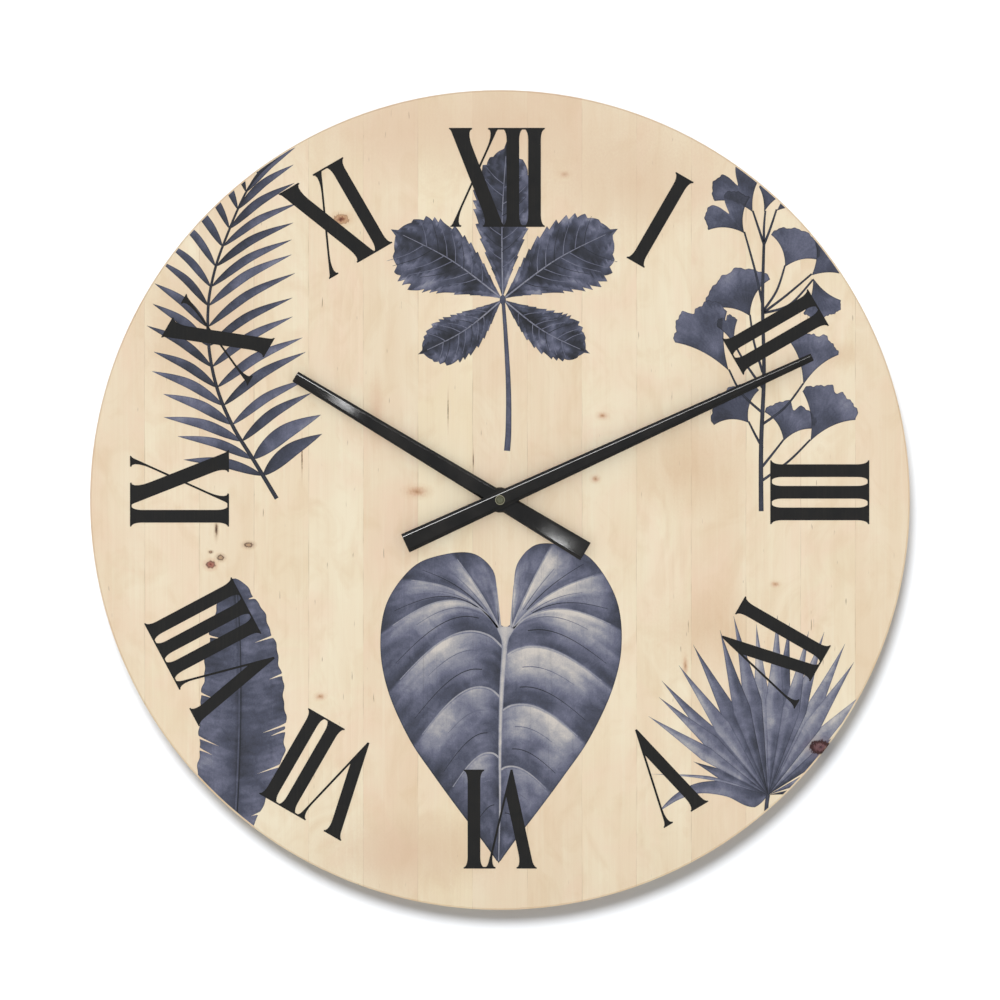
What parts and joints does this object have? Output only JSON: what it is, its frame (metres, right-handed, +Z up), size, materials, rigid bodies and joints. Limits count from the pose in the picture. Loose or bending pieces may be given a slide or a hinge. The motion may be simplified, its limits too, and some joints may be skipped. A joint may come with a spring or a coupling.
{
  "type": "wall clock",
  "caption": "Round wooden wall clock with printed roman numerals and leaf motifs, two bevelled bar hands, a battery quartz movement in the back and a sawtooth hanger.",
  "frame": {"origin": "on the hands' axis, in the wall plane, at the rear face of the movement's back cover", "axes": "+Z up towards twelve, +X towards three as seen from the front, +Y from the dial into the wall"},
  "size_m": [0.584, 0.0361, 0.584],
  "materials": {
    "pine": "satin clear-lacquered pine",
    "black_ink": "satin printed ink",
    "zinc_steel": "zinc plated, satin",
    "bumper_rubber": "matt",
    "case_plastic": "fine moulded texture",
    "white_plastic": "moulded acetal, satin",
    "brass": "turned, satin",
    "nut_brass": "dull plated",
    "copper_wire": "enamelled wire",
    "core_steel": "ground",
    "board_green": "solder mask, satin",
    "cell_sleeve": "printed sleeve, satin",
    "hand_black": "gloss black lacquer",
    "magnet": "sintered, matt"
  },
  "bodies": {
    "root": {"stave_01": "pine", "stave_02": "pine", "stave_03": "pine", "stave_04": "pine", "stave_05": "pine", "stave_06": "pine", "stave_07": "pine", "stave_08": "pine", "stave_09": "pine", "stave_10": "pine", "stave_11": "pine", "stave_12": "pine", "stave_13": "pine", "stave_14": "pine", "stave_15": "pine", "numerals": "black_ink", "sawtooth_hanger": "zinc_steel", "hanger_screws": "zinc_steel", "bumper_left": "bumper_rubber", "bumper_right": "bumper_rubber", "case_front": "case_plastic", "case_back": "case_plastic", "threaded_bush": "brass", "rubber_washer": "bumper_rubber", "dial_washer": "brass", "fixing_nut": "brass", "train_plate": "white_plastic", "coil_bobbin": "white_plastic", "coil_winding": "copper_wire", "coil_core": "core_steel", "stator": "core_steel", "circuit_board": "board_green", "chip_cover": "case_plastic", "quartz_crystal": "core_steel", "positive_contact": "zinc_steel", "negative_contact": "zinc_steel"},
    "minute_hand_assembly": {"minute_hand": "hand_black", "minute_hand_collet": "brass", "hand_nut": "nut_brass", "cannon_pinion": "core_steel"},
    "hour_hand_assembly": {"hour_hand": "hand_black", "hour_hand_collet": "brass", "hour_wheel": "brass"},
    "minute_wheel_assembly": {"minute_wheel": "white_plastic"},
    "setting_knob_assembly": {"setting_knob": "white_plastic"},
    "centre_arbor": {"centre_wheel": "white_plastic"},
    "third_arbor": {"third_wheel": "white_plastic"},
    "seconds_arbor": {"seconds_wheel": "white_plastic"},
    "intermediate_arbor": {"intermediate_wheel": "white_plastic"},
    "rotor": {"rotor_pinion": "white_plastic", "rotor_magnet": "magnet"},
    "battery_cell": {"cell_jacket": "cell_sleeve", "cell_terminal": "zinc_steel"}
  },
  "joints": [
    {"name": "minute_hand_spin", "type": "hinge", "parent": "root", "child": "minute_hand_assembly", "pos_m": [0, 0, 0], "axis": [0, 1, 0], "continuous": true},
    {"name": "hour_hand_spin", "type": "hinge", "parent": "root", "child": "hour_hand_assembly", "pos_m": [0, 0, 0], "axis": [0, 1, 0], "continuous": true},
    {"name": "minute_wheel_spin", "type": "hinge", "parent": "root", "child": "minute_wheel_assembly", "pos_m": [-0.00846, 0, -0.00308], "axis": [0, 1, 0], "continuous": true},
    {"name": "setting_knob_spin", "type": "hinge", "parent": "root", "child": "setting_knob_assembly", "pos_m": [-0.01746, 0, -0.00308], "axis": [0, 1, 0], "continuous": true},
    {"name": "seconds_wheel_spin", "type": "hinge", "parent": "root", "child": "seconds_arbor", "pos_m": [0, 0, 0], "axis": [0, 1, 0], "continuous": true},
    {"name": "centre_wheel_spin", "type": "hinge", "parent": "root", "child": "centre_arbor", "pos_m": [0, 0, 0], "axis": [0, 1, 0], "continuous": true},
    {"name": "third_wheel_spin", "type": "hinge", "parent": "root", "child": "third_arbor", "pos_m": [-0.00779, 0, 0.0045], "axis": [0, 1, 0], "continuous": true},
    {"name": "intermediate_wheel_spin", "type": "hinge", "parent": "root", "child": "intermediate_arbor", "pos_m": [0.00779, 0, 0.0045], "axis": [0, 1, 0], "continuous": true},
    {"name": "rotor_spin", "type": "hinge", "parent": "root", "child": "rotor", "pos_m": [0.01175, 0, 0.01136], "axis": [0, 1, 0], "continuous": true},
    {"name": "cell_slide", "type": "slide", "parent": "root", "child": "battery_cell", "axis": [0, 1, 0], "range_m": [0, 0.018]}
  ],
  "couplings": [
    {"joint": "hour_hand_spin", "follows": "minute_hand_spin", "ratio": 0.083333},
    {"joint": "minute_wheel_spin", "follows": "minute_hand_spin", "ratio": -0.33333},
    {"joint": "setting_knob_spin", "follows": "minute_hand_spin", "ratio": 1},
    {"joint": "third_wheel_spin", "follows": "seconds_wheel_spin", "ratio": -0.13333},
    {"joint": "centre_wheel_spin", "follows": "seconds_wheel_spin", "ratio": 0.016667},
    {"joint": "intermediate_wheel_spin", "follows": "seconds_wheel_spin", "ratio": -6},
    {"joint": "rotor_spin", "follows": "seconds_wheel_spin", "ratio": 30}
  ]
}
